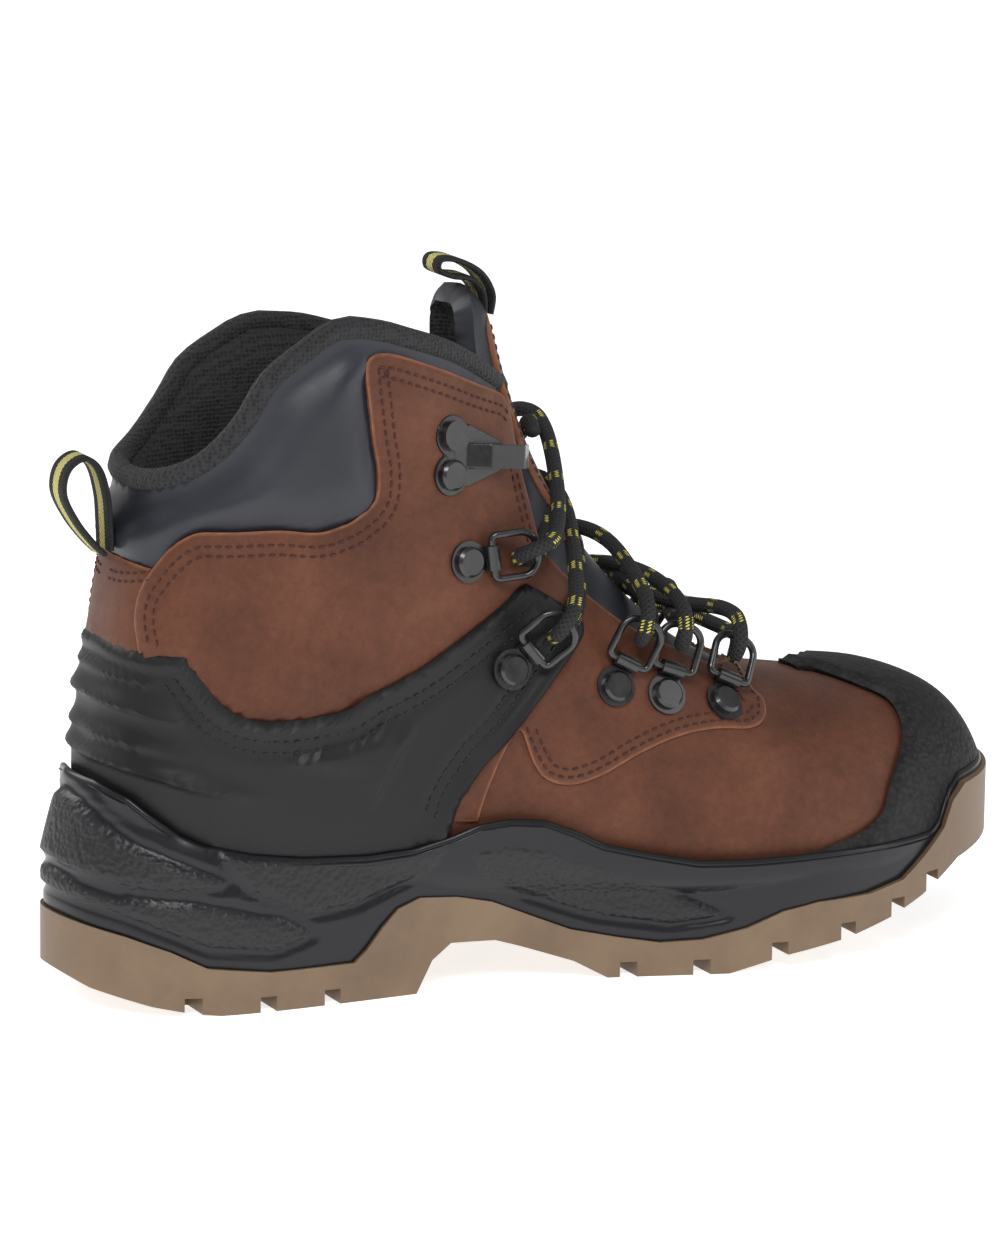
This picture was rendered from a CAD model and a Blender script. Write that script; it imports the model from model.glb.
import bpy
import bmesh
from math import cos, exp, hypot, pi, radians, sin
from mathutils import Matrix, Vector
from mathutils.bvhtree import BVHTree
from mathutils.geometry import delaunay_2d_cdt
from mathutils.kdtree import KDTree


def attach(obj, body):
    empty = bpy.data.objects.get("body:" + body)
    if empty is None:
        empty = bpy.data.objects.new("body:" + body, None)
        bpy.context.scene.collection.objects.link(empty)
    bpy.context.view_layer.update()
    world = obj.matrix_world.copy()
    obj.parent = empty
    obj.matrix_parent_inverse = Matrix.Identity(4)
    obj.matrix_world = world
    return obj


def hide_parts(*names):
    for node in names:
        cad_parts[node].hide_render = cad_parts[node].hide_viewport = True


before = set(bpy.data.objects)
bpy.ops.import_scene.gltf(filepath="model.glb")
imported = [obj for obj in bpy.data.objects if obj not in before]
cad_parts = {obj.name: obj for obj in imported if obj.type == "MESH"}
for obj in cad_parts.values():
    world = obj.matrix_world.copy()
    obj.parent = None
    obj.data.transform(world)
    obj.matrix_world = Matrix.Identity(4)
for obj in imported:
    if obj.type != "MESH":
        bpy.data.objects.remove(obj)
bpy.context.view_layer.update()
MM = 0.001

# ------------------------------------------------------------------ camera
TARGET = Vector((-8.28, 0.0, 93.59)) * MM
CAMERA_DISTANCE, FAR_CLIP = 2.0, 20.0
CAMERA_AZIMUTH, CAMERA_ELEVATION, CAMERA_ROLL = radians(-25), radians(12.35), radians(0.73)
SENSOR, FOCAL = 36.0, 196.4736
LENS_SHIFT = 0.01168  # upward, as a share of the sensor


def make_camera():
    data = bpy.data.cameras.new("camera")
    camera = bpy.data.objects.new("camera", data)
    bpy.context.scene.collection.objects.link(camera)
    back = Vector((
        sin(CAMERA_AZIMUTH) * cos(CAMERA_ELEVATION),
        -cos(CAMERA_AZIMUTH) * cos(CAMERA_ELEVATION),
        sin(CAMERA_ELEVATION),
    ))
    right = Vector((cos(CAMERA_AZIMUTH), sin(CAMERA_AZIMUTH), 0))
    up = back.cross(right)
    turned_right = right * cos(CAMERA_ROLL) + up * sin(CAMERA_ROLL)
    turned_up = up * cos(CAMERA_ROLL) - right * sin(CAMERA_ROLL)
    turn = Matrix((turned_right, turned_up, back)).transposed().to_4x4()
    camera.matrix_world = Matrix.Translation(TARGET + back * CAMERA_DISTANCE) @ turn
    data.sensor_width = data.sensor_height = SENSOR
    data.sensor_fit = "AUTO"
    data.lens = FOCAL
    data.shift_y = LENS_SHIFT
    data.clip_end = FAR_CLIP
    bpy.context.scene.camera = camera


make_camera()

# ------------------------------------------------------------------ the foot form, in millimetres
# Slices of the form from the toe to above the collar. Each is a line from its top (x, z) down to its bottom
# (x, z), then its half width, its middle's y, how far down it is widest as a share of its height, and the
# powers of its rounding above and below that.
STATIONS = [
    (148, 39, 148, 35, 4, 7, 0.50, 2.0, 2.0),
    (147, 41, 147, 33, 8, 7, 0.50, 2.0, 2.0),
    (143.5, 54, 143.5, 25, 21, 7, 0.60, 2.1, 2.3),
    (134, 66, 134, 21, 33, 6, 0.66, 2.2, 2.8),
    (116, 74, 116, 20, 43.5, 4, 0.70, 2.3, 3.4),
    (91, 78, 93, 20, 51, 1, 0.72, 2.3, 3.5),
    (67, 83, 68, 20, 52, -1, 0.74, 2.2, 3.5),
    (45, 94, 43, 20, 50, -2, 0.74, 2.1, 3.5),
    (27, 110, 13, 20, 45, -2, 0.72, 2.0, 3.2),
    (13, 127, -22, 20, 41, -1, 0.66, 2.0, 3.0),
    (3, 143, -67, 21, 39, 0, 0.60, 2.1, 3.0),
    (-4, 157, -112, 26, 39, 0, 0.55, 2.2, 3.0),
    (-8, 168, -137, 50, 39, 0, 0.52, 2.2, 2.7),
    (-11, 178, -138, 85, 38, 0, 0.52, 2.1, 2.5),
    (-14, 188, -133, 118, 37, 0, 0.51, 2.1, 2.4),
    (-17, 197, -129, 148, 37, 0, 0.50, 2.1, 2.4),
    (-20, 207, -128, 178, 37, 0, 0.50, 2.1, 2.4),
    (-23, 217, -128, 208, 37, 0, 0.50, 2.1, 2.4),
]
TOE_SHARE = (1.0, 1.0, 1.0, 0.6, 0.2)  # how much of a growth pushes the first slices forward
ALONG, AROUND = 22.0, 38.0  # millimetres of leather per station and per radian, about
RIDGE_TO_HEEL = 30  # steps of the search grid from the instep's ridge round to the underside


def spline_value(rows, t):
    """A smooth curve through four values, between the second and the third."""
    a, b, c, d = rows
    return 0.5 * (2 * b + (c - a) * t + (2 * a - 5 * b + 4 * c - d) * t * t + (3 * b - a - 3 * c + d) * t**3)


def form(u, a, grow=0.0):
    """A point of the form. u counts stations from the toe, a is the angle from the ridge, minus outside."""
    place = min(max(u + 1, 0.0), len(STATIONS) - 1.001)
    k = int(place)
    rows = [STATIONS[max(k - 1, 0)], STATIONS[k], STATIONS[k + 1], STATIONS[min(k + 2, len(STATIONS) - 1)]]
    tx, tz, bx, bz, width, middle, widest, top_power, bottom_power = (
        spline_value(values, place - k) for values in zip(*rows)
    )
    shares = [TOE_SHARE[i] if i < len(TOE_SHARE) else 0 for i in (max(k - 1, 0), k, k + 1, k + 2)]
    share = spline_value(shares, place - k)
    height = hypot(bx - tx, bz - tz)
    side = -1 if a < 0 else 1
    a = abs(a)
    power = 2 / (top_power if a < pi / 2 else bottom_power)
    rise = abs(cos(a)) ** power
    fall = widest * (1 - rise) if a < pi / 2 else widest + (1 - widest) * rise
    down = fall * (height + 2 * grow) - grow
    across = middle + side * (width + grow) * abs(sin(a)) ** power
    return Vector((tx + share * grow + (bx - tx) / height * down, across, tz + (bz - tz) / height * down))


def form_normal(u, a, reach=0.02):
    """The form's outward direction at a pattern place."""
    along = form(u + reach, a) - form(u - reach, a)
    around = form(u, a + reach) - form(u, a - reach)
    normal = along.cross(around).normalized()
    return normal if normal.dot(form(u, a, 1) - form(u, a)) > 0 else -normal


NUDGE, TINY = 0.01, 1e-9
LONGEST_STEP = (0.6, 0.25)  # in stations and in radians
LAST_STATION = 16


def solve(target, guess, side=1):
    """The (u, a) where a pair of measures of the form is zero, by Newton's method."""
    u, a = guess
    for _ in range(30):
        here = target(form(u, side * a))
        by_u = [(m - h) / NUDGE for m, h in zip(target(form(u + NUDGE, side * a)), here)]
        by_a = [(m - h) / NUDGE for m, h in zip(target(form(u, side * (a + NUDGE))), here)]
        det = by_u[0] * by_a[1] - by_a[0] * by_u[1]
        if abs(det) < TINY:
            break
        du = -(here[0] * by_a[1] - here[1] * by_a[0]) / det
        da = -(here[1] * by_u[0] - here[0] * by_u[1]) / det
        scale = min(1.0, LONGEST_STEP[0] / (abs(du) + TINY), LONGEST_STEP[1] / (abs(da) + TINY))
        u = min(max(u + du * scale, -0.9), LAST_STATION)
        a = min(max(a + da * scale, NUDGE), pi - NUDGE)
    return u, a


# a coarse grid of pattern places on one half of the form, where each search starts
GRID = [(u / 4, 0.08 + k * 0.1) for u in range(4 * LAST_STATION + 1) for k in range(RIDGE_TO_HEEL + 1)]
GRID_POINTS = [form(u, a) for u, a in GRID]
THROAT_FOOT, THROAT_WAY = Vector((63, 0, 84)), Vector((-0.59, 0, 0.807))


def nearest_start(gap, allowed=lambda u, a: True):
    """The grid's place whose point has the smallest gap."""
    return GRID[min((i for i, at in enumerate(GRID) if allowed(*at)), key=lambda i: gap(GRID_POINTS[i]))]


def at_side(x, z):
    """Pattern place of a side-view point."""
    start = nearest_start(lambda p: (p.x - x) ** 2 + (p.z - z) ** 2)
    return solve(lambda p: (p.x - x, p.z - z), start)


def at_back(y, z):
    """Pattern place of a point at the heel, by its height and half width."""
    start = nearest_start(lambda p: (p.y - y) ** 2 + (p.z - z) ** 2, lambda u, a: a > 1.8 and u > 9)
    return solve(lambda p: (p.y - y, p.z - z), start)


def at_throat(along, y, side=1):
    """Pattern place of a point given in the throat's own plane: how far up it, and how far to the side."""
    def miss(p):
        return ((p - THROAT_FOOT).dot(THROAT_WAY) - along, side * p.y - y)

    start = nearest_start(
        lambda p: miss(p)[0] ** 2 + (p.y - y) ** 2, lambda u, a: a < 1.5 and 3 < u < LAST_STATION
    )
    return solve(miss, start, side)


def from_heel(place):
    """The same pattern place with its angle counted from the heel line, or back again."""
    u, a = place
    return u, (pi - abs(a)) * (1 if a >= 0 else -1)


def smooth_line(points, step=2.0, heel=False):
    """More points along a line of pattern places, on a smooth curve through them."""
    if heel:
        return [from_heel(p) for p in smooth_line([from_heel(p) for p in points], step)]
    line = []
    for k in range(len(points) - 1):
        rows = [points[max(k - 1, 0)], points[k], points[k + 1], points[min(k + 2, len(points) - 1)]]
        length = hypot((rows[2][0] - rows[1][0]) * ALONG, (rows[2][1] - rows[1][1]) * AROUND)
        count = max(1, round(length / step))
        for n in range(count):
            line.append(tuple(spline_value(values, n / count) for values in zip(*rows)))
    line.append(tuple(points[-1]))
    return line


# ------------------------------------------------------------------ cutting and wrapping sheet
SKINS = {}  # the outer skin of each wrapped piece, which stitches are laid on


def mesh_object(name, bm, material, body="boot", node=None):
    """A finished piece on its body. node names the CAD parts that it stands for."""
    mesh = bpy.data.meshes.new(name)
    bm.to_mesh(mesh)
    bm.free()
    piece = bpy.data.objects.new(name, mesh)
    bpy.context.scene.collection.objects.link(piece)
    for each in material if isinstance(material, (list, tuple)) else [material]:
        mesh.materials.append(each)
    mesh.shade_smooth()
    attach(piece, body)
    if node:
        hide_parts(*([node] if isinstance(node, str) else node))
    return piece


SHORTEST_EDGE = 0.4
EDGE_PARTS = 5  # points taken along each edge to measure how far a point is from the cut


def panel(name, outline, grow, thick, material, node=None, spacing=2.6, heel=False, bevel=0.5):
    """A piece of sheet cut to a pattern outline and wrapped on the form.

    grow is a function of (distance from the cut edge, point) in millimetres. With heel=True the pattern is
    laid out from the heel line, so that it may cross it.
    """
    def flat(place):
        u, a = from_heel(place) if heel else place
        return u * ALONG, a * AROUND

    def place_of(x, y):
        place = (x / ALONG, y / AROUND)
        return from_heel(place) if heel else place

    edge = [Vector(flat(p)) for p in outline]
    clean = [edge[0]]
    for p in edge[1:]:
        if (p - clean[-1]).length > SHORTEST_EDGE:
            clean.append(p)
    if (clean[0] - clean[-1]).length < SHORTEST_EDGE:
        clean.pop()
    edge = clean
    low = Vector((min(p.x for p in edge), min(p.y for p in edge)))
    high = Vector((max(p.x for p in edge), max(p.y for p in edge)))
    tree = KDTree(len(edge))
    for i, p in enumerate(edge):
        tree.insert((p.x, p.y, 0), i)
    tree.balance()
    # fill the outline's box with staggered rows, clear of the outline itself
    inside = []
    row = 0
    y = low.y
    while y < high.y:
        x = low.x + (spacing / 2 if row % 2 else 0)
        while x < high.x:
            if tree.find((x, y, 0))[2] > spacing * 0.6:
                inside.append(Vector((x, y)))
            x += spacing
        y += spacing * 0.87
        row += 1
    points = edge + inside
    loops = [(i, (i + 1) % len(edge)) for i in range(len(edge))]
    out = delaunay_2d_cdt(points, loops, [list(range(len(edge)))], 1, 1e-4)
    vertices, faces = out[0], out[2]
    border = KDTree(len(edge) * EDGE_PARTS)
    for i, p in enumerate(edge):
        q = edge[(i + 1) % len(edge)]
        for n in range(EDGE_PARTS):
            middle = p.lerp(q, n / EDGE_PARTS)
            border.insert(form(*place_of(middle.x, middle.y)), EDGE_PARTS * i + n)
    border.balance()
    bm = bmesh.new()
    edge_layer = bm.verts.layers.float.new("edge")
    made = []
    for v in vertices:
        u, a = place_of(v.x, v.y)
        base = form(u, a)
        distance = border.find(base)[2]
        vert = bm.verts.new(form(u, a, grow(distance, base)) * MM)
        vert[edge_layer] = distance
        made.append(vert)
    for f in faces:
        if len(set(f)) > 2:
            bm.faces.new([made[i] for i in f])
    bmesh.ops.delete(bm, geom=[v for v in bm.verts if not v.link_faces], context="VERTS")
    bmesh.ops.recalc_face_normals(bm, faces=bm.faces)
    facing = 0.0
    for v, co in zip(made, vertices):
        if v.is_valid:
            u, a = place_of(co.x, co.y)
            facing += v.normal.dot(form(u, a, 1) - form(u, a, 0))
    if facing < 0:
        bmesh.ops.reverse_faces(bm, faces=bm.faces)
    SKINS[name] = BVHTree.FromBMesh(bm)
    piece = mesh_object(name, bm, material, node=node)
    solid = piece.modifiers.new("sheet", "SOLIDIFY")
    solid.thickness = thick * MM
    solid.offset = -1
    if bevel:
        rounding = piece.modifiers.new("cut edge", "BEVEL")
        rounding.width = bevel * MM
        rounding.segments = 2
        rounding.limit_method = "ANGLE"
        rounding.angle_limit = radians(50)
    return piece


# ------------------------------------------------------------------ materials
class Shader:
    """A short way to write a node tree on Object coordinates."""

    def __init__(self, name, color=(0.5, 0.5, 0.5), roughness=0.5, metallic=0.0, **sockets):
        self.material = bpy.data.materials.new(name)
        self.material.use_nodes = True
        self.tree = self.material.node_tree
        self.surface = self.tree.nodes["Principled BSDF"]
        self.surface.inputs["Base Color"].default_value = (*color, 1)
        self.surface.inputs["Roughness"].default_value = roughness
        self.surface.inputs["Metallic"].default_value = metallic
        for key, value in sockets.items():
            self.surface.inputs[key.replace("_", " ").title().replace("Ior", "IOR")].default_value = value
        self.place = self.node("ShaderNodeTexCoord").outputs["Object"]

    def node(self, kind, **settings):
        node = self.tree.nodes.new(kind)
        for key, value in settings.items():
            setattr(node, key, value)
        return node

    def link(self, out, into):
        self.tree.links.new(out, into)

    def noise(self, scale, detail=3.0, roughness=0.5, distortion=0.0, vector=None):
        node = self.node("ShaderNodeTexNoise")
        node.inputs["Scale"].default_value = scale
        node.inputs["Detail"].default_value = detail
        node.inputs["Roughness"].default_value = roughness
        node.inputs["Distortion"].default_value = distortion
        self.link(vector or self.place, node.inputs["Vector"])
        return node.outputs["Fac"]

    def cells(self, scale, feature="F1", vector=None, randomness=1.0):
        node = self.node("ShaderNodeTexVoronoi", feature=feature)
        node.inputs["Scale"].default_value = scale
        node.inputs["Randomness"].default_value = randomness
        self.link(vector or self.place, node.inputs["Vector"])
        return node.outputs["Distance"]

    def attribute(self, name, output="Fac"):
        return self.node("ShaderNodeAttribute", attribute_name=name).outputs[output]

    def ramp(self, value, stops):
        node = self.node("ShaderNodeValToRGB")
        ramp = node.color_ramp
        while len(ramp.elements) < len(stops):
            ramp.elements.new(0.5)
        for element, (position, color) in zip(ramp.elements, stops):
            element.position = position
            element.color = (*color, 1)
        self.link(value, node.inputs["Fac"])
        return node.outputs["Color"]

    def math(self, operation, a, b=0.0):
        node = self.node("ShaderNodeMath", operation=operation)
        for index, value in enumerate((a, b)):
            if isinstance(value, (int, float)):
                node.inputs[index].default_value = value
            else:
                self.link(value, node.inputs[index])
        return node.outputs["Value"]

    def span(self, value, low, high, to_low=0.0, to_high=1.0):
        node = self.node("ShaderNodeMapRange")
        for key, number in zip(("From Min", "From Max", "To Min", "To Max"), (low, high, to_low, to_high)):
            node.inputs[key].default_value = number
        self.link(value, node.inputs["Value"])
        return node.outputs["Result"]

    def mix(self, factor, a, b, blend="MIX"):
        node = self.node("ShaderNodeMix", data_type="RGBA", blend_type=blend)
        for socket, value in ((0, factor), (6, a), (7, b)):
            if isinstance(value, (int, float)):
                node.inputs[socket].default_value = value
            elif isinstance(value, tuple):
                node.inputs[socket].default_value = (*value, 1)
            else:
                self.link(value, node.inputs[socket])
        return node.outputs[2]

    def bump(self, height, strength=0.3, distance=0.001, under=None):
        node = self.node("ShaderNodeBump")
        node.inputs["Strength"].default_value = strength
        node.inputs["Distance"].default_value = distance
        self.link(height, node.inputs["Height"])
        if under is not None:
            self.link(under, node.inputs["Normal"])
        return node.outputs["Normal"]

    def done(self, color=None, roughness=None, normal=None):
        for value, socket in ((color, "Base Color"), (roughness, "Roughness"), (normal, "Normal")):
            if value is not None:
                self.link(value, self.surface.inputs[socket])
        return self.material


def leather():
    """Waxed nubuck: cloudy brown, fine specks, and a paler raw edge where it is cut."""
    s = Shader("brown nubuck", roughness=0.62, specular_ior_level=0.35, sheen_weight=0.06, sheen_roughness=0.5)
    clouds = s.noise(34, 5, 0.6, 0.4)
    fine = s.noise(420, 4, 0.7)
    browns = [(0.3, (0.078, 0.023, 0.010)), (0.5, (0.108, 0.033, 0.014)), (0.7, (0.136, 0.044, 0.019))]
    tone = s.ramp(clouds, browns)
    speck = s.span(fine, 0.3, 0.7, 0.82, 1.16)
    toned = s.mix(1.0, tone, speck, "MULTIPLY")
    raw = s.span(s.attribute("edge"), 0.1, 1.0, 1.0, 0.0)
    broken = s.math("MULTIPLY", raw, s.span(s.noise(260, 3), 0.25, 0.6, 0.35, 1.0))
    color = s.mix(broken, toned, (0.27, 0.100, 0.045))
    rough = s.span(clouds, 0.3, 0.7, 0.68, 0.52)
    grain = s.bump(s.noise(900, 3, 0.6), 0.25, 0.0004)
    dents = s.bump(s.noise(90, 3, 0.5), 0.25, 0.0012, grain)
    return s.done(color, rough, dents)


def coated():
    """Smooth coated cloth of the collar and tongue."""
    s = Shader("charcoal coated fabric", roughness=0.42, specular_ior_level=0.5)
    soft = s.noise(28, 3)
    color = s.ramp(soft, [(0.3, (0.012, 0.013, 0.019)), (0.7, (0.024, 0.026, 0.036))])
    rough = s.span(s.noise(60, 3), 0.3, 0.7, 0.36, 0.5)
    grain = s.bump(s.noise(1500, 2), 0.12, 0.0003)
    return s.done(color, rough, s.bump(soft, 0.35, 0.002, grain))


def spacer_mesh():
    """Open knitted mesh of the lining and the collar's rolled edge."""
    s = Shader("black spacer mesh", roughness=0.85, sheen_weight=0.05)
    holes = s.cells(800, "F1", randomness=0.35)
    color = s.ramp(holes, [(0.12, (0.004, 0.004, 0.004)), (0.6, (0.026, 0.026, 0.029))])
    return s.done(color, None, s.bump(holes, 0.9, 0.0008))


def moulded():
    """Satin black moulding of the heel cage."""
    s = Shader("black moulding", roughness=0.5, specular_ior_level=0.32)
    soft = s.noise(40, 3)
    rough = s.span(soft, 0.3, 0.7, 0.43, 0.58)
    color = s.mix(s.span(soft, 0.3, 0.7), (0.009, 0.009, 0.010), (0.0135, 0.0135, 0.015))
    return s.done(color, rough, s.bump(s.noise(1300, 2), 0.15, 0.0003))


def pebbled_rubber():
    """Rubber with a pebbled face, on the toe bumper."""
    s = Shader("pebbled black rubber", roughness=0.6, specular_ior_level=0.3)
    pebble = s.cells(620, "SMOOTH_F1", randomness=0.9)
    color = s.ramp(pebble, [(0.1, (0.022, 0.022, 0.024)), (0.6, (0.009, 0.009, 0.010))])
    return s.done(color, None, s.bump(pebble, 0.6, 0.0008))


def midsole_foam():
    """Glossy foam that turns matt and pebbled where the panel attribute says so."""
    s = Shader("black sole foam", roughness=0.35, specular_ior_level=0.4)
    pebble = s.cells(640, "SMOOTH_F1", randomness=0.9)
    mask = s.attribute("panel")
    height = s.math("MULTIPLY", pebble, mask)
    color = s.mix(mask, (0.010, 0.010, 0.013), (0.018, 0.018, 0.020))
    rough = s.span(mask, 0.0, 1.0, 0.30, 0.50)
    return s.done(color, rough, s.bump(height, 0.85, 0.0009, s.bump(s.noise(200, 3), 0.08, 0.0005)))


def gum():
    """Natural gum rubber of the outsole."""
    s = Shader("gum rubber", roughness=0.5)
    clouds = s.noise(45, 4, 0.6)
    color = s.ramp(clouds, [(0.3, (0.165, 0.105, 0.060)), (0.7, (0.230, 0.155, 0.095))])
    return s.done(color, s.span(clouds, 0.3, 0.7, 0.42, 0.58), s.bump(s.noise(700, 3), 0.25, 0.0004))


def enamel():
    """Black enamelled steel of the rings, clips and hooks."""
    s = Shader("black enamelled metal", roughness=0.22, coat_weight=0.6, coat_roughness=0.08)
    soft = s.noise(260, 3)
    color = s.ramp(soft, [(0.35, (0.008, 0.008, 0.009)), (0.7, (0.016, 0.016, 0.018))])
    return s.done(color, s.span(soft, 0.3, 0.7, 0.24, 0.38), s.bump(soft, 0.1, 0.0003))


def thread(name, color):
    """Twisted sewing thread."""
    s = Shader(name, roughness=0.75)
    tone = s.mix(s.noise(300, 2), tuple(c * 0.6 for c in color), tuple(min(1, c * 1.5) for c in color))
    return s.done(tone, None, s.bump(s.noise(2500, 2), 0.4, 0.0003))


def route_uv(s):
    """A swept piece's own map: metres along it, and a share of the way round or across it."""
    split = s.node("ShaderNodeSeparateXYZ")
    s.link(s.node("ShaderNodeUVMap", uv_map="route").outputs["UV"], split.inputs["Vector"])
    return split.outputs["X"], split.outputs["Y"]


def braid():
    """Round braid: slanting ridges round the lace, and groups of yellow flecks along it."""
    s = Shader("black braid with yellow flecks", roughness=0.8)
    along, around = route_uv(s)
    turn = s.math("MULTIPLY", around, 2 * pi * 6)
    rise = s.math("MULTIPLY", along, 2 * pi * 700)
    one = s.math("SINE", s.math("ADD", turn, rise))
    two = s.math("SINE", s.math("SUBTRACT", turn, rise))
    height = s.math("MAXIMUM", one, two)
    period = s.math("FRACT", s.math("MULTIPLY", along, 1 / 0.0135))
    group = s.math("LESS_THAN", period, 0.22)
    dots = s.math("GREATER_THAN", s.math("MULTIPLY", one, s.math("SINE", s.math("ADD", rise, 1.0))), 0.35)
    fleck = s.math("MULTIPLY", group, dots)
    base = s.mix(1.0, (0.020, 0.020, 0.023), s.span(height, -1.0, 1.0, 0.35, 1.0), "MULTIPLY")
    color = s.mix(fleck, base, (0.72, 0.62, 0.10))
    return s.done(color, None, s.bump(height, 0.7, 0.0004))


def web():
    """Woven webbing with a pale yellow stripe down its middle."""
    s = Shader("black webbing with yellow stripe", roughness=0.85)
    along, across = route_uv(s)
    ribs = s.math("SINE", s.math("MULTIPLY", along, 2 * pi * 900))
    yarns = s.math("SINE", s.math("MULTIPLY", across, 2 * pi * 10))
    height = s.math("MULTIPLY", ribs, yarns)
    middle = s.math("ABSOLUTE", s.math("SUBTRACT", across, 0.5))
    wavy = s.math("ADD", middle, s.math("MULTIPLY", ribs, 0.012))
    stripe = s.math("LESS_THAN", wavy, 0.17)
    shade = s.span(height, -1.0, 1.0, 0.55, 1.1)
    dark = s.mix(1.0, (0.016, 0.016, 0.018), shade, "MULTIPLY")
    light = s.mix(1.0, (0.80, 0.72, 0.25), shade, "MULTIPLY")
    return s.done(s.mix(stripe, dark, light), None, s.bump(height, 0.8, 0.0004))


BROWN = leather()
COATED = coated()
MESH = spacer_mesh()
MOULDED = moulded()
PEBBLED = pebbled_rubber()
FOAM = midsole_foam()
GUM = gum()
ENAMEL = enamel()
THREAD = thread("dark red-brown thread", (0.055, 0.014, 0.012))
BLACK_THREAD = thread("black thread", (0.012, 0.012, 0.013))
BRAID = braid()
WEB = web()

# ------------------------------------------------------------------ lines of the pattern, in millimetres
SIDES = {"lateral": -1, "medial": 1}
SLOT = [(4, 15), (12, 24), (26, 26.5), (40, 28), (58, 27), (75, 26), (90, 22.5), (103, 19.5)]
VAMP_SEAM = [
    (64, 83.5), (60.5, 80), (62.5, 77), (60, 73), (54, 71), (42, 72), (30, 71), (17, 67),
    (4, 61), (-5, 59), (-12, 61), (-16, 66), (-20, 76), (-27, 66), (-33, 50),
]
QUARTER_TOP = [
    (-123, 133), (-119, 137), (-113, 139), (-95, 139.3), (-77, 139), (-70, 142), (-65, 146), (-64, 154),
    (-66, 166), (-68, 181), (-67, 187), (-61, 188), (-51, 184.8), (-41, 181), (-30, 176.2), (-18, 171),
    (-14, 167),
]
RIM = [
    (-125, 151), (-115, 157), (-105, 168), (-97, 181), (-85, 190), (-76, 195),
    (-67, 195), (-54, 192), (-35, 186), (-16, 176),
]
CAGE_TOP = [
    (-123, 104), (-119, 101.5), (-115, 95.5), (-111, 90.5), (-104, 86.5), (-94, 85), (-83, 85.5), (-68, 90),
    (-53, 96), (-40, 103), (-24, 112), (-17, 116.5), (-13, 115.5), (-1, 108), (3, 103), (1, 99), (-5, 93),
    (-14, 84), (-24, 73), (-31, 67), (-38, 58), (-41, 50), (-43, 38), (-45, 28),
]
BUMPER_LINE = [
    (32, 30), (34, 34.5), (48, 34), (64, 34.5), (79, 37), (88, 40), (94, 44), (97, 50), (101.5, 56),
    (107, 62), (109, 67), (108, 71), (100, 75), (93, 77.5),
]
TONGUE = [
    (-5, 14), (2, 24), (12, 30), (40, 31), (75, 31), (90, 26), (102, 21), (125, 19), (139, 16), (143, 10),
]
TONGUE_PATCH = [(70, 14.5), (90, 15.5), (110, 15), (124, 14), (132, 12.5), (135, 9)]


def side_line(points, side):
    """Pattern places of side-view points, on one side of the form."""
    return [(u, side * a) for u, a in (at_side(x, z) for x, z in points)]


def throat_line(points, side):
    """Pattern places of points in the throat's plane, on one side of the form."""
    return [(u, side * a) for u, a in (at_throat(along, y, side) for along, y in points)]


def ridge(x):
    """Station number where the instep ridge has this x."""
    low, high = 0.0, 15.0
    for _ in range(30):
        middle = (low + high) / 2
        low, high = (middle, high) if form(middle, 0.001).x > x else (low, middle)
    return low


def steady(height):
    """The same height all over a panel."""
    return lambda distance, point: height


def swell(distance, width):
    """From 0 at a cut edge to 1 further in."""
    return sin(min(max(distance / width, 0.0), 1.0) * pi / 2)


def bump_at(distance, centre, half):
    """A soft ridge of unit height round a distance."""
    return exp(-((distance - centre) / half) ** 2)


# ------------------------------------------------------------------ stitching
STITCH_PITCH, STITCH_LONG = 3.0, 2.2
STITCH_PROUD = 0.12
SKIN_ABOVE, SKIN_REACH = 6, 14  # how far off the form a piece's skin is looked for


def sew(name, on, line, insets, width=0.8, material=THREAD):
    """Rows of stitches on a piece, along a line of pattern places and moved in from it."""
    tree = SKINS[on]
    places = smooth_line(line, 1.5)
    rail = [form(u, a) * MM for u, a in places]
    ways = [form_normal(u, a) for u, a in places]
    bm = bmesh.new()
    for inset in insets:
        track, both, votes = [], [], [0, 0]
        for k, point in enumerate(rail):
            tangent = rail[min(k + 1, len(rail) - 1)] - rail[max(k - 1, 0)]
            if tangent.length < 1e-9:
                continue
            tangent.normalize()
            normal = ways[k]
            across = normal.cross(tangent).normalized()
            tries = [point + across * inset * MM, point - across * inset * MM]
            found = [tree.find_nearest(p) for p in tries]
            gaps = [found[i][0] - tries[i] for i in (0, 1)]
            best = min((0, 1), key=lambda i: (gaps[i] - normal * gaps[i].dot(normal)).length)
            votes[best] += 1
            both.append((tries, normal))
        # the side of the line on which the piece lies, for the whole row
        best = 0 if votes[0] > votes[1] else 1
        for tries, normal in both:
            top = tree.ray_cast(tries[best] + normal * SKIN_ABOVE * MM, -normal, SKIN_REACH * MM)[0]
            if top is not None:
                track.append((top, normal))
        if len(track) < 2:
            continue
        lengths = [0.0]
        for a, b in zip(track, track[1:]):
            lengths.append(lengths[-1] + (b[0] - a[0]).length)
        place, k = STITCH_PITCH / 2 * MM, 0
        while place < lengths[-1] - STITCH_PITCH / 3 * MM:
            while lengths[k + 1] < place:
                k += 1
            share = (place - lengths[k]) / max(lengths[k + 1] - lengths[k], 1e-9)
            spot = track[k][0].lerp(track[k + 1][0], share)
            along = (track[k + 1][0] - track[k][0]).normalized()
            normal = track[k][1]
            across = normal.cross(along).normalized()
            normal = along.cross(across)
            turn = Matrix((
                along * (STITCH_LONG / 2 * MM), across * (width / 2 * MM), normal * (width / 2.2 * MM),
            )).transposed().to_4x4()
            bmesh.ops.create_uvsphere(
                bm, u_segments=6, v_segments=4, radius=1,
                matrix=Matrix.Translation(spot + normal * STITCH_PROUD * MM) @ turn,
            )
            place += STITCH_PITCH * MM
    return mesh_object(name, bm, material)


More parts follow.
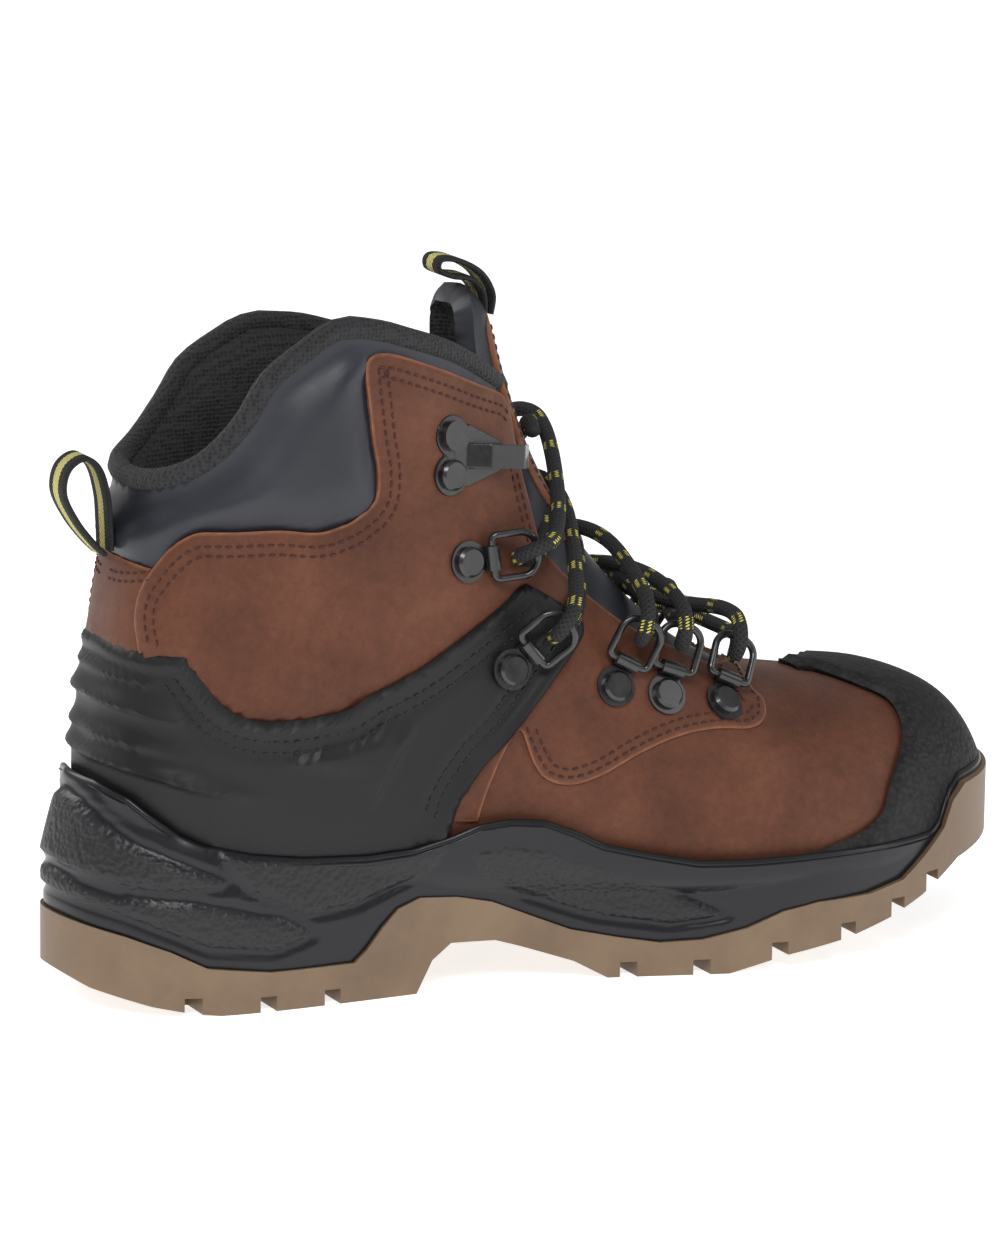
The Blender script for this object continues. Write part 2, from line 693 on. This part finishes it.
def inside_depth(fields, x, z):
    """How far inside the nearest side-view outline a point lies, in millimetres, minus outside."""
    best = -99.0
    for field in fields:
        inside, near = False, 99.0
        for (x0, z0), (x1, z1) in zip(field, field[1:] + field[:1]):
            if (z0 > z) != (z1 > z) and x < (x1 - x0) * (z - z0) / (z1 - z0) + x0:
                inside = not inside
            dx, dz = x1 - x0, z1 - z0
            t = min(max(((x - x0) * dx + (z - z0) * dz) / (dx * dx + dz * dz), 0), 1)
            near = min(near, hypot(x - x0 - t * dx, z - z0 - t * dz))
        best = max(best, near if inside else -near)
    return best


# ------------------------------------------------------------------ leather upper
VAMP_LEVEL, QUARTER_LEVEL, BACKSTAY_LEVEL = -1.0, 0.4, -0.3
VAMP_THICK, QUARTER_THICK, BACKSTAY_THICK = 1.8, 1.9, 1.8
SUNK_QUARTER, SUNK_BACKSTAY = 2.6, 2.4  # how far the leather sinks under the heel cage
HIDDEN_EDGE = 2.75  # the angle at which the vamp is lasted under, out of sight


def under_cage(p):
    """1 where the heel cage covers the leather, 0 elsewhere."""
    cover = [(-160, 105)] + CAGE_TOP + [(-160, 28)]
    return swell(inside_depth([cover], p.x, p.z) - 1.5, 2.5)


def make_vamp():
    right, left = (throat_line(SLOT[:5], side) + side_line([(-38, 70), (-42, 40)], side) for side in (1, -1))
    bottom = [(u / 2, HIDDEN_EDGE) for u in range(16, 2, -1)]
    front = [(1.0, HIDDEN_EDGE - 0.25 * k) for k in range(23)]
    outline = (
        [(ridge(62.5), 0.0)] + right + bottom + front
        + [(u, -a) for u, a in reversed(bottom)] + list(reversed(left))
    )
    panel("vamp_leather", outline, steady(VAMP_LEVEL), VAMP_THICK, BROWN, node="vamp", spacing=3.0)


def make_quarter(name, side):
    throat = [(ridge(64) + 0.02, 0.012 * side)] + throat_line(SLOT, side)
    top = list(reversed(side_line(QUARTER_TOP, side)))
    rear = side_line([(-126, 128), (-129, 121), (-130.5, 113), (-130.5, 104), (-129, 90), (-126, 70)], side)
    bottom = side_line([(-110, 55), (-80, 50), (-50, 50)], side)
    seam = list(reversed(side_line(VAMP_SEAM, side)))
    outline = smooth_line(throat, 1.5) + smooth_line(top, 1.5) + smooth_line(rear, 2) + bottom
    outline += smooth_line(seam, 1.5)
    on = f"quarter_leather_{name}"
    panel(
        on, outline, lambda d, p: QUARTER_LEVEL - 0.5 * (1 - swell(d, 3)) - SUNK_QUARTER * under_cage(p),
        QUARTER_THICK, BROWN, node=f"quarter_{name}", spacing=2.4,
    )
    sew(f"quarter_stitches_{name}", on, top + rear[:4], (4.0, 6.8))
    sew(f"seam_stitches_{name}", on, side_line(VAMP_SEAM[3:13], side), (2.2, 4.6))
    front = [(ridge(64) + 0.02, 0.03 * side)] + side_line(VAMP_SEAM[:4], side)
    sew(f"front_stitches_{name}", on, front, (2.4, 9.5))
    sew(f"eyestay_stitches_{name}", on, throat_line(SLOT[5:], side), (3.5, 6.0))


def heel_place(y, z):
    u, a = at_back(abs(y), z)
    return u, a if y > 0 else -a


def make_backstay():
    half, foot = 22, 96
    ys = [-half, -16, -10, -5, 0.0, 5, 10, 16, half]
    top = [heel_place(y, 128.5 - 0.004 * y * y) for y in ys]
    outline = top + [heel_place(half, 112), heel_place(half, foot)]
    outline += [heel_place(y, foot) for y in reversed(ys)] + [heel_place(-half, 112)]
    piece = panel(
        "backstay_leather", outline,
        lambda d, p: BACKSTAY_LEVEL - 0.4 * (1 - swell(d, 3)) - SUNK_BACKSTAY * under_cage(p),
        BACKSTAY_THICK, BROWN, node="backstay", spacing=2.2, heel=True,
    )
    sew("backstay_stitches", piece.name, top[1:-1], (4.2, 6.6))


make_vamp()
for side_name, side in SIDES.items():
    make_quarter(side_name, side)
make_backstay()


# ------------------------------------------------------------------ collar, rim and lining
INNER_RIM = [
    (-125, 151), (-115, 155.5), (-105, 165), (-97, 175), (-85, 182), (-76, 186), (-67, 186.5), (-54, 185),
    (-35, 180.5), (-16, 173),
]
COLLAR_FOOT = [
    (-128, 122), (-121, 127), (-113, 132.5), (-95, 133), (-77, 133), (-66, 134), (-57, 142), (-57.5, 154),
    (-59.5, 166), (-61, 178), (-55, 180.5), (-41, 175), (-30, 170), (-18, 165),
]
LINING_FOOT = [(-132, 60), (-90, 50), (-50, 60), (10, 80)]
RIM_BACK = [(-129, 149.5)]
QUARTER_COVERS = 6.3  # how much of the collar's edge lies under the quarter


def rim_line(side, drop=0.0):
    """The collar's top line on one side; the inner side is a little lower."""
    return [(x, z - drop) for x, z in (RIM if side < 0 else INNER_RIM)]


def heel_centre(z):
    return at_back(0.0, z)[0], pi - 0.001


def round_heel(lines, centre):
    """One line round the heel: the outer side's run back to the heel line, then the inner side's forward."""
    return list(reversed(side_line(lines[0], -1))) + [heel_centre(centre)] + side_line(lines[1], 1)


def make_collar():
    outline = round_heel([RIM_BACK + rim_line(side) for side in (-1, 1)], 149.3)
    outline += list(reversed(side_line(COLLAR_FOOT, 1))) + [heel_centre(121)] + side_line(COLLAR_FOOT, -1)
    piece = panel(
        "collar_cushion", smooth_line(outline, 2.5, True), lambda d, p: -1.9 + 4.6 * swell(d - QUARTER_COVERS, 12),
        3.0, COATED, node=["collar_cover", "collar_foam"], spacing=2.4, heel=True, bevel=0.0,
    )


def round_tube(name, path, radius, material, sides, node):
    """A tube swept along points, with closed ends and a route map: metres along, share of a turn around."""
    bm = bmesh.new()
    uv = bm.loops.layers.uv.new("route")
    up = Vector((0, 0, 1))
    rings, lengths = [], [0.0]
    for k, point in enumerate(path):
        tangent = (path[min(k + 1, len(path) - 1)] - path[max(k - 1, 0)]).normalized()
        up = (up - tangent * up.dot(tangent)).normalized()
        across = tangent.cross(up)
        ring = []
        for n in range(sides):
            angle = 2 * pi * n / sides
            ring.append(bm.verts.new(point + (across * cos(angle) + up * sin(angle)) * radius * MM))
        rings.append(ring)
        if k:
            lengths.append(lengths[-1] + (point - path[k - 1]).length)
    for k in range(len(rings) - 1):
        for n in range(sides):
            m = (n + 1) % sides
            face = bm.faces.new((rings[k][n], rings[k][m], rings[k + 1][m], rings[k + 1][n]))
            for loop, (i, j) in zip(face.loops, ((k, n), (k, n + 1), (k + 1, n + 1), (k + 1, n))):
                loop[uv].uv = (lengths[i], j / sides)
    bm.faces.new(list(reversed(rings[0])))
    bm.faces.new(rings[-1])
    bmesh.ops.recalc_face_normals(bm, faces=bm.faces)
    return mesh_object(name, bm, material, node=node)


def make_rim():
    places = round_heel([RIM_BACK + rim_line(side) + [(-8, 171)] for side in (-1, 1)], 149.3)
    centre = [form(u, a, -3.6) * MM for u, a in smooth_line(places, 3, True)]
    round_tube("collar_rim_roll", centre, 3.3, MESH, 10, "collar_rim")


def make_lining():
    outline = round_heel([[(-129, 148.5)] + rim_line(side, 1) + [(-2, 164)] for side in (-1, 1)], 148.3)
    outline += list(reversed(side_line(LINING_FOOT, 1))) + [heel_centre(60)] + side_line(LINING_FOOT, -1)
    panel(
        "ankle_lining", smooth_line(outline, 3, True), lambda d, p: -5.5 - 4.5 * swell(d, 12), 0.8, MESH,
        node="lining", spacing=4.0, heel=True, bevel=0.0,
    )


make_collar()
make_rim()
make_lining()


# ------------------------------------------------------------------ tongue
def make_tongue():
    left, right = throat_line(TONGUE, -1), throat_line(TONGUE, 1)
    start, end = (at_throat(-6, 0.3)[0], 0.0), (at_throat(143, 0.3)[0], 0.0)
    outline = smooth_line([start] + right, 2) + smooth_line([end] + list(reversed(left)), 2)
    piece = panel(
        "tongue_cushion", outline, lambda d, p: -4.6 + 2.8 * swell(d, 9) + 1.0 * bump_at(p.z, 196, 7), 7.0,
        [COATED, MESH], node="tongue", spacing=2.6, bevel=2.6,
    )
    piece.modifiers["cut edge"].segments = 4
    piece.modifiers["sheet"].material_offset = 1
    left, right = throat_line(TONGUE_PATCH, -1), throat_line(TONGUE_PATCH, 1)
    patch = [(at_throat(69, 0.3)[0], 0.0)] + right + [(at_throat(136, 0.3)[0], 0.0)] + list(reversed(left))
    face = panel("tongue_leather", patch, steady(-0.6), 1.6, BROWN, node="tongue_patch", spacing=2.0)
    sew("tongue_stitches", face.name, right, (2.6,))
    sew("tongue_stitches_far", face.name, left, (2.6,))


make_tongue()


# ------------------------------------------------------------------ heel cage and toe bumper
CAGE_ROWS = (6.2, 9.4)  # its two rows of stitches, in from its edge
HEEL_BACK = 138
# raised ribs round the heel (height at the heel, fall per mm forward, half height, where it fades out)
RIBS = [
    (97.0, 0.20, 2.0, 124), (90.5, 0.28, 2.2, 112), (80.0, 0.26, 2.0, 118), (73.5, 0.26, 2.2, 96),
]
WEDGE = [[(-92, 73.5), (-54, 80), (-66, 59), (-71, 68.5)]]


def cage_level(d, p):
    """Height of the moulding: a lip at its edge, two sewn grooves, ribs at the heel and a plain wedge."""
    height = 1.2 * swell(d, 1.2) + 0.7 + 0.9 * bump_at(d, 1.9, 1.5)
    for row in CAGE_ROWS:
        height -= 0.7 * bump_at(d, row, 1.0)
    reach = -p.x
    for high, drop, half, front in RIBS:
        middle = high - drop * max(0.0, HEEL_BACK - reach)
        share = min(max((reach - front) / 22, 0.0), 1.0) * min(max((d - 2.0) / 5, 0.0), 1.0)
        height += 2.6 * share * exp(-((p.z - middle) / (half * (0.4 + 0.6 * share))) ** 2)
    depth = inside_depth(WEDGE, p.x, p.z)
    height += 1.6 * min(max(depth / 1.8 + 0.5, 0.0), 1.0)
    return height - 2.0 * swell(reach - 112, 24)


def make_cage():
    half = CAGE_TOP + [(-60, 30), (-100, 33), (-122, 38)]
    outline = round_heel([half, half], 105.5) + [heel_centre(40)]
    piece = panel(
        "heel_cage_shell", smooth_line(outline, 1.6, True), cage_level, 2.2, MOULDED, node="heel_cage",
        spacing=1.15, heel=True, bevel=0.4,
    )
    for name, side in SIDES.items():
        for number, line in enumerate((CAGE_TOP[1:12], CAGE_TOP[15:22])):
            sew(
                f"cage_stitches_{name}_{number}", piece.name, side_line(line, side), CAGE_ROWS, width=0.7,
                material=BLACK_THREAD,
            )


def make_bumper():
    left, right = side_line(BUMPER_LINE, -1), side_line(BUMPER_LINE, 1)
    back, under = ridge(87), 2.8
    top = [(back, -0.08), (back, 0.0), (back, 0.08)]
    bottom = [(u / 2, under) for u in range(13, -2, -1)]
    front = [(-0.8, under - 0.2 * k) for k in range(1, 28)]
    outline = (
        smooth_line(top + list(reversed(right)), 1.6) + bottom + front
        + [(u, -a) for u, a in reversed(bottom)] + smooth_line(left, 1.6)
    )
    panel(
        "toe_bumper_shell", outline, lambda d, p: 0.4 + 2.2 * swell(d, 1.6), 2.4, PEBBLED, node="toe_bumper",
        spacing=2.2, bevel=0.5,
    )


make_cage()
make_bumper()

# ------------------------------------------------------------------ sole
# its plan, then side-view lines where the gum meets the foam and where the foam meets the upper
PLANFORM = [
    (-151, 0), (-144.5, -20), (-125, -35), (-95, -39.5), (-57, -38), (-17, -38), (18, -45),
    (48, -53), (74, -56), (103, -50), (122, -39), (135, -26), (145, -10), (151, 8), (147, 26), (134, 41),
    (110, 50), (84, 56), (58, 54.5), (28, 48), (-5, 39), (-42, 34), (-82, 35.5), (-112, 35.5),
    (-134, 28), (-146, 15),
]
GUM_TOP = [
    (-153, 27), (-145, 25), (-137, 23), (-126, 19), (-116, 14), (-97, 11.5), (-71, 11.5), (-67, 15),
    (-62, 21), (-57, 26), (-50, 28.5), (-38, 27.5), (-27, 25), (-14, 19.5), (-3, 15), (11, 12),
    (23, 10), (35, 10.5), (48, 13.5), (59, 18), (70, 20), (87, 20.5), (100, 23), (109, 29),
    (117, 35.5), (121, 43), (127, 47), (153, 48),
]
MIDSOLE_TOP = [
    (-153, 66), (-147, 65), (-138, 62), (-133, 58), (-124, 51.5), (-117, 48.5), (-102, 45), (-87, 43),
    (-67, 42), (-53, 43), (-42, 46), (-34, 49), (-24, 50), (-13, 49), (-4, 45.5), (5, 41),
    (19, 37.5), (33, 34.5), (48, 34), (153, 34),
]
# pebbled fields on the sole's side, as side-view outlines
FIELDS = [
    [
        (-156, 66), (-148, 58), (-138, 50), (-121, 43), (-108, 38), (-121, 36.5), (-138, 37.5), (-148, 40),
        (-156, 45),
    ],
    [
        (-156, 41), (-143, 34.5), (-118, 32.5), (-95, 27), (-84, 21), (-96, 17.5), (-116, 20), (-138, 29),
        (-156, 34),
    ],
    [(-113, 47), (-95, 43.5), (-70, 41), (-44, 43), (-48, 36), (-70, 29), (-86, 27), (-104, 36)],
    [(-36, 41), (-26, 42.5), (-10, 40), (8, 33), (28, 24), (42, 17.5), (26, 15.5), (4, 19), (-18, 27), (-32, 35)],
]


def height_at(line, x):
    for (x0, z0), (x1, z1) in zip(line, line[1:]):
        if x0 <= x <= x1:
            return z0 + (z1 - z0) * (x - x0) / (x1 - x0)
    return line[-1][1]


def ring_spline(points, count):
    """Points evenly spread on a smooth closed curve."""
    n = len(points)
    fine = []
    for k in range(n):
        rows = [points[(k + j - 1) % n] for j in range(4)]
        fine += [Vector([spline_value(values, t / 12) for values in zip(*rows)]) for t in range(12)]
    lengths = [0.0]
    for a, b in zip(fine, fine[1:] + fine[:1]):
        lengths.append(lengths[-1] + (b - a).length)
    out, k = [], 0
    for i in range(count):
        place = lengths[-1] * i / count
        while lengths[k + 1] < place:
            k += 1
        share = (place - lengths[k]) / (lengths[k + 1] - lengths[k])
        out.append(fine[k].lerp(fine[(k + 1) % len(fine)], share))
    return out


def form_tree(grow):
    """The form's whole surface, to cast rays at."""
    around = 56
    bm = bmesh.new()
    rows = []
    for i in range(60):
        u = -0.98 + i * 0.24
        rows.append([bm.verts.new(form(u, -pi + 2 * pi * j / around + 1e-4, grow)) for j in range(around)])
    for low, high in zip(rows, rows[1:]):
        for j in range(around):
            bm.faces.new((low[j], low[(j + 1) % around], high[(j + 1) % around], high[j]))
    bm.faces.new(rows[0])
    tree = BVHTree.FromBMesh(bm)
    bm.free()
    return tree


COLUMNS, SIDE_ROWS, LIP_ROWS = 400, 24, 6
UPPER_GAP = 2.6  # the least that the sole's edge stands off the upper
LIP_CROWN = 1.2


def make_midsole():
    """The side of the midsole as one grid round the sole, carved by its fields, with a lip onto the upper."""
    ring = ring_spline(PLANFORM, COLUMNS)
    skin = form_tree(1.0)
    bm = bmesh.new()
    field_layer = bm.verts.layers.float.new("panel")
    columns = []
    for k, point in enumerate(ring):
        tangent = (ring[(k + 1) % COLUMNS] - ring[k - 1]).normalized()
        outward = Vector((-tangent.y, tangent.x))
        if outward.dot(point) < 0:
            outward = -outward
        outward = outward.to_3d()
        low, high = height_at(GUM_TOP, point.x) - 1.5, height_at(MIDSOLE_TOP, point.x)
        high = max(high, low + 3)
        column = []
        for r in range(SIDE_ROWS + LIP_ROWS):
            v = min(r / (SIDE_ROWS - 1), 1.0)
            lip = max(r - SIDE_ROWS + 1, 0) / LIP_ROWS
            z = low + (high - low) * v
            depth = inside_depth(FIELDS, point.x, z)
            field = min(max(depth, 0.0), 1.0)
            relief = -1.4 + sin(pi * v) ** 0.6 + 0.5 * field - 1.3 * bump_at(depth, -0.8, 1.0)
            # the wall leans in under the heel cage
            relief -= 5.5 * min(max((z - 42) / 24, 0.0), 1.0) * min(max((-point.x - 95) / 30, 0.0), 1.0)
            base = Vector((point.x, point.y, z))
            spot = base + outward * relief
            hit = skin.ray_cast(base + outward * 15, -outward, 60)[0]
            crown = LIP_CROWN * sin(pi * min(lip * 1.6, 1.0))
            if hit is not None:
                spot += outward * max((hit - spot).dot(outward) + UPPER_GAP, 0.0)
                spot = spot.lerp(Vector((hit.x, hit.y, z)), lip)
                spot.z += crown - 0.8 * lip
            else:
                spot -= outward * 14 * lip
                spot.z += crown
            vert = bm.verts.new(spot * MM)
            vert[field_layer] = field
            column.append(vert)
        columns.append(column)
    for a, b in zip(columns, columns[1:] + columns[:1]):
        for r in range(SIDE_ROWS + LIP_ROWS - 1):
            bm.faces.new((a[r], b[r], b[r + 1], a[r + 1]))
    bmesh.ops.recalc_face_normals(bm, faces=bm.faces)
    far = max(bm.faces, key=lambda f: f.calc_center_median().x)
    if far.normal.x < 0:
        bmesh.ops.reverse_faces(bm, faces=bm.faces)
    piece = mesh_object("midsole_side", bm, FOAM, node="midsole")
    wall = piece.modifiers.new("wall", "SOLIDIFY")
    wall.thickness = 2 * MM
    wall.offset = -1


make_midsole()


# ------------------------------------------------------------------ pull loops
HEEL_LOOP = [
    (-134.4, 129.4), (-138, 133), (-143, 139.5), (-146.8, 147.5), (-145.5, 154.5), (-140.5, 157.5),
    (-136, 154), (-133.6, 146), (-132.9, 138), (-132.6, 130.5),
]
TONGUE_LOOP = [
    (-14.8, 191.5), (-14.2, 197.5), (-18, 203.7), (-25, 207.6), (-30.5, 208.2), (-31.2, 205.2),
    (-27, 203.2), (-21, 202), (-17.2, 197.8), (-16.7, 192),
]


WEB_WIDE, WEB_THICK, WEB_STEPS = 12.0, 1.6, 12


def strap(name, route):
    """A flat strap along a side-view route, with a route map: metres along, share of its width across."""
    line = []
    for k in range(len(route) - 1):
        rows = [route[max(k - 1, 0)], route[k], route[k + 1], route[min(k + 2, len(route) - 1)]]
        line += [Vector([spline_value(values, t / 8) for values in zip(*rows)]) for t in range(8)]
    line.append(Vector(route[-1]))
    bm = bmesh.new()
    uv = bm.loops.layers.uv.new("route")
    top = []
    for n in range(WEB_STEPS + 1):
        thinned = 1.0 if 0 < n < WEB_STEPS else 0.45
        top.append((-0.5 + n / WEB_STEPS, WEB_THICK / 2 * thinned))
    section = top + [(y, -h) for y, h in reversed(top)]
    rings, lengths = [], [0.0]
    for k, point in enumerate(line):
        tangent = (line[min(k + 1, len(line) - 1)] - line[max(k - 1, 0)]).normalized()
        normal = Vector((-tangent.y, tangent.x))
        rings.append([
            bm.verts.new(Vector((point.x + normal.x * h, y * WEB_WIDE, point.y + normal.y * h)) * MM)
            for y, h in section
        ])
        if k:
            lengths.append(lengths[-1] + (point - line[k - 1]).length * MM)
    count = len(section)
    for k in range(len(rings) - 1):
        for n in range(count):
            m = (n + 1) % count
            face = bm.faces.new((rings[k][n], rings[k][m], rings[k + 1][m], rings[k + 1][n]))
            for loop, (i, j) in zip(face.loops, ((k, n), (k, m), (k + 1, m), (k + 1, n))):
                loop[uv].uv = (lengths[i], section[j][0] + 0.5)
    bm.faces.new(list(reversed(rings[0])))
    bm.faces.new(rings[-1])
    bmesh.ops.recalc_face_normals(bm, faces=bm.faces)
    mesh_object(name + "_webbing", bm, WEB, body=name, node=name)


strap("heel_loop", HEEL_LOOP)
strap("tongue_loop", TONGUE_LOOP)

# ------------------------------------------------------------------ lace
# each ring's pattern place on its side, and the place that it points to
RING_SPOTS = [
    ((5.93, 0.78), (5.62, 0.22)),
    ((6.81, 0.92), (6.60, 0.53)),
    ((7.54, 1.03), (7.27, 0.67)),
    ((8.93, 1.24), (8.60, 0.97)),
    ((10.23, 1.07), (9.40, 0.82)),
]
CAGE_RING, CAGE_THICK = 4, 2.6
PIN_X, PIN_Z, RING_REACH, RING_TILT = 7.5, 2.7, 13.0, radians(22)
LACE_TURN, LACE_WIDE = 5.2, 4.5
# where the halves cross between rings: station, then each half's height over the tongue
CROSSINGS = [(6.0, 7.2, 1.8), (6.95, 1.8, 7.2), (7.9, 7.4, 2.0), (8.9, 2.4, 8.0)]
LACE_TAIL = {
    "lateral": [(9.7, 9.0, -3.0), (10.2, 7.0, 6.0), (10.0, 3.0, 13.0)],
    "medial": [(9.7, 3.2, 3.0), (10.2, 3.0, -6.0), (10.0, 0.5, -12.0)],
}


def lace_at_ring(side_name, number):
    """The lace round a ring: in under the outer bar, up through the ring, back over it."""
    side = SIDES[side_name]
    (u, a), (to_u, to_a) = RING_SPOTS[number - 1]
    normal = form_normal(u, side * a)
    origin = form(u, side * a) + normal * (CAGE_THICK if number == CAGE_RING else 0.0)
    reach = form(to_u, side * to_a) - form(u, side * a)
    x_way = (reach - normal * reach.dot(normal)).normalized()
    y_way = normal.cross(x_way)
    bar_x, bar_z = PIN_X + RING_REACH * cos(RING_TILT), PIN_Z + RING_REACH * sin(RING_TILT)
    spots = [
        (bar_x + 6, -4.0, bar_z - LACE_TURN), (bar_x - LACE_TURN, -1.5, bar_z - LACE_TURN),
        (bar_x - LACE_TURN, 1.5, bar_z + LACE_TURN), (bar_x + 6, 4.0, bar_z + LACE_TURN),
    ]
    return [origin + x_way * x + y_way * y + normal * z for x, y, z in spots]


def over_tongue(u, height, across=0.0):
    """A point over the tongue's middle."""
    return form(u, 0.02) + form_normal(u, 0.02) * height + Vector((0, across, 0))


def lace_half(first):
    """One half of the lace, from the front bar up to its tip, criss-crossing the throat."""
    other = "medial" if first == "lateral" else "lateral"
    points = []
    for number in range(1, 6):
        points += lace_at_ring(first if number % 2 else other, number)
        if number < 5:
            u, high, low = CROSSINGS[number - 1]
            points.append(over_tongue(u, high if first == "lateral" else low))
    return points + [over_tongue(*spot) for spot in LACE_TAIL[first]]


def make_lace():
    route = list(reversed(lace_half("lateral"))) + [over_tongue(5.15, 7.0)] + lace_half("medial")
    data = bpy.data.curves.new("lace_route", "CURVE")
    data.dimensions = "3D"
    spline = data.splines.new("NURBS")
    spline.points.add(len(route) - 1)
    for control, spot in zip(spline.points, route):
        control.co = (*(spot * MM), 1)
    spline.order_u = 3
    spline.use_endpoint_u = True
    spline.resolution_u = 12
    guide = bpy.data.objects.new("lace_route", data)
    bpy.context.scene.collection.objects.link(guide)
    bpy.context.view_layer.update()
    mesh = bpy.data.meshes.new_from_object(guide)
    path = [v.co.copy() for v in mesh.vertices]
    bpy.data.objects.remove(guide)
    bpy.data.meshes.remove(mesh)
    piece = round_tube("lace_braid", path, LACE_WIDE / 2, BRAID, 12, "lace")


make_lace()


# ------------------------------------------------------------------ finishes of the parts that stay as they are
def finish_nodes(material, names, bevel=0.0):
    """A material, and a rounding if one is given, on each node whose name starts with one of these."""
    for name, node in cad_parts.items():
        if any(name.startswith(each) for each in names):
            for slot_ in node.material_slots:
                slot_.material = material
            if bevel:
                weld = node.modifiers.new("weld", "WELD")
                weld.merge_threshold = 1e-5
                rounding = node.modifiers.new("rounding", "BEVEL")
                rounding.width = bevel * MM
                rounding.segments = 2
                rounding.limit_method = "ANGLE"
                rounding.angle_limit = radians(35)


finish_nodes(ENAMEL, ("d_ring", "ring_clips", "clip_rivets"))
finish_nodes(ENAMEL, ("hook",), 0.35)
finish_nodes(GUM, ("outsole",))
finish_nodes(MOULDED, ("steel_toe_cap", "toe_cap_trim", "heel_counter", "shank", "ankle_foam"))
finish_nodes(MESH, ("footbed", "insole_board", "puncture_plate"))

# ------------------------------------------------------------------ floor and light
floor_shader = Shader("pale floor", color=(0.90, 0.90, 0.90), roughness=0.6)
floor_shader.surface.inputs["Emission Color"].default_value = (1, 1, 1, 1)
floor_shader.surface.inputs["Emission Strength"].default_value = 0.74
bm = bmesh.new()
bmesh.ops.create_grid(bm, x_segments=2, y_segments=2, size=8)
floor_mesh = bpy.data.meshes.new("floor")
bm.to_mesh(floor_mesh)
bm.free()
floor_mesh.materials.append(floor_shader.material)
floor = bpy.data.objects.new("floor", floor_mesh)
bpy.context.scene.collection.objects.link(floor)

world = bpy.data.worlds.new("studio")
world.use_nodes = True
world.node_tree.nodes["Background"].inputs["Color"].default_value = (1, 1, 1, 1)
world.node_tree.nodes["Background"].inputs["Strength"].default_value = 0.30
bpy.context.scene.world = world


def area_light(name, place, aim, width, height, power):
    data = bpy.data.lights.new(name, "AREA")
    data.shape, data.size, data.size_y, data.energy = "RECTANGLE", width, height, power
    light = bpy.data.objects.new(name, data)
    way = Vector(aim) - Vector(place)
    light.matrix_world = Matrix.Translation(place) @ way.to_track_quat("-Z", "Y").to_matrix().to_4x4()
    bpy.context.scene.collection.objects.link(light)


area_light("key", (-0.5, -1.1, 1.2), (0, 0, 0.08), 0.8, 0.5, 12)
area_light("fill", (1.2, -0.9, 0.6), (0, 0, 0.08), 0.6, 0.9, 4)
area_light("back", (-0.9, 0.9, 0.9), (0, 0, 0.1), 0.8, 0.6, 7)
bpy.context.scene.view_settings.view_transform = "Standard"
